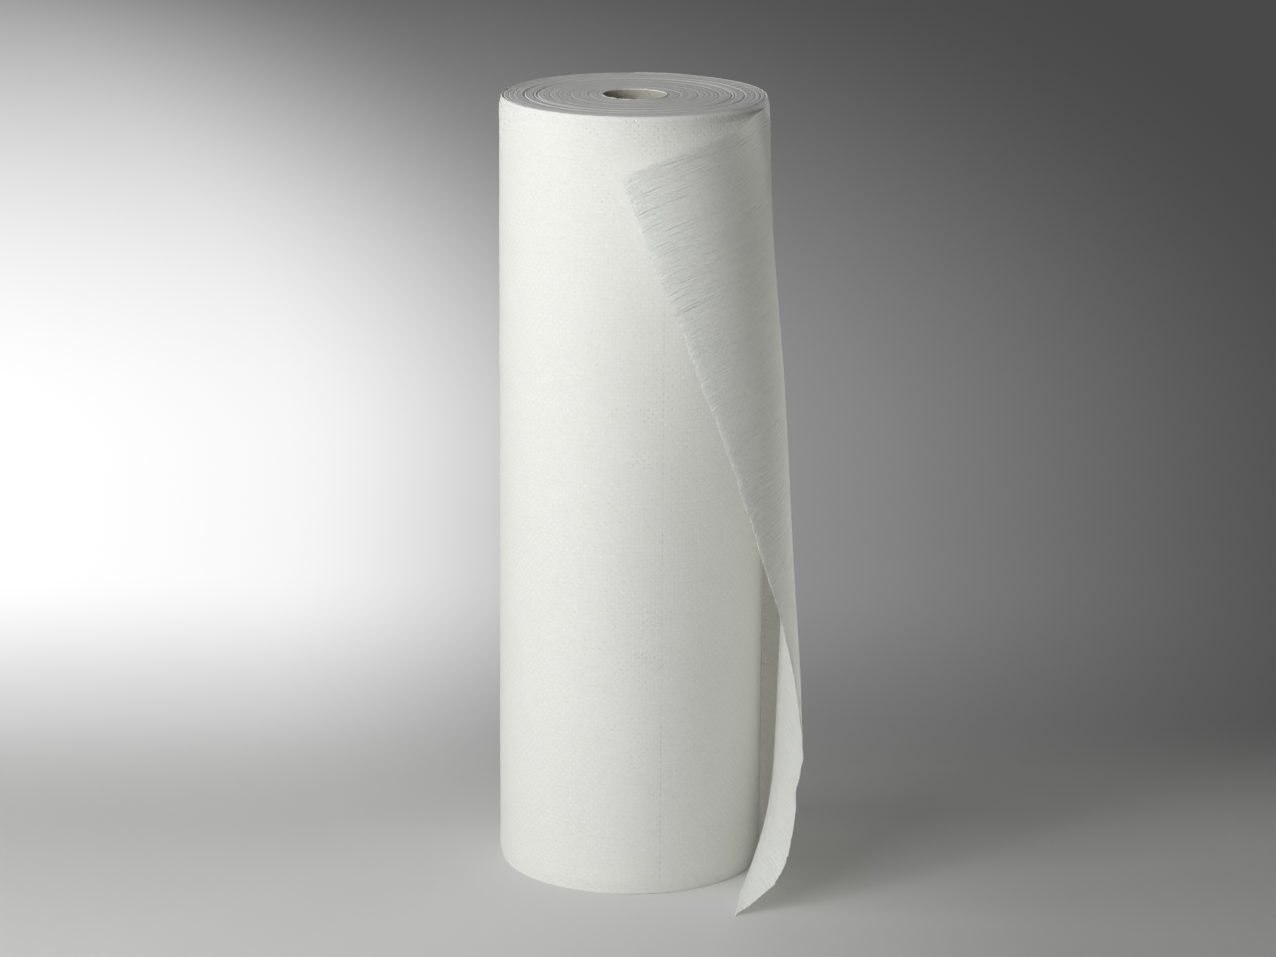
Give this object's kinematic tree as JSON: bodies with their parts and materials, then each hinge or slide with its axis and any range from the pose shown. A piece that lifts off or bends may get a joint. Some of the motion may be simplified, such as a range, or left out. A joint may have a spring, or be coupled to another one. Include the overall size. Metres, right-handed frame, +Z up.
{
  "type": "exam table paper roll",
  "caption": "Wide roll of white embossed tissue on a cardboard core, standing on its end, with the outermost turn loose and its torn edge standing off the roll.",
  "frame": {"origin": "centre of the core's bore at the roll's bottom end, which is the face it stands on", "axes": "+Z up along the roll's axis, -Y towards the front, where the loose end stands off the roll, +X to the right of someone facing that front"},
  "size_m": [0.1908, 0.2199, 0.5],
  "materials": {
    "paper": "matte embossed tissue",
    "cardboard": "matte grey board"
  },
  "bodies": {
    "root": {"core_tube": "cardboard", "paper_roll": "paper"}
  },
  "joints": []
}
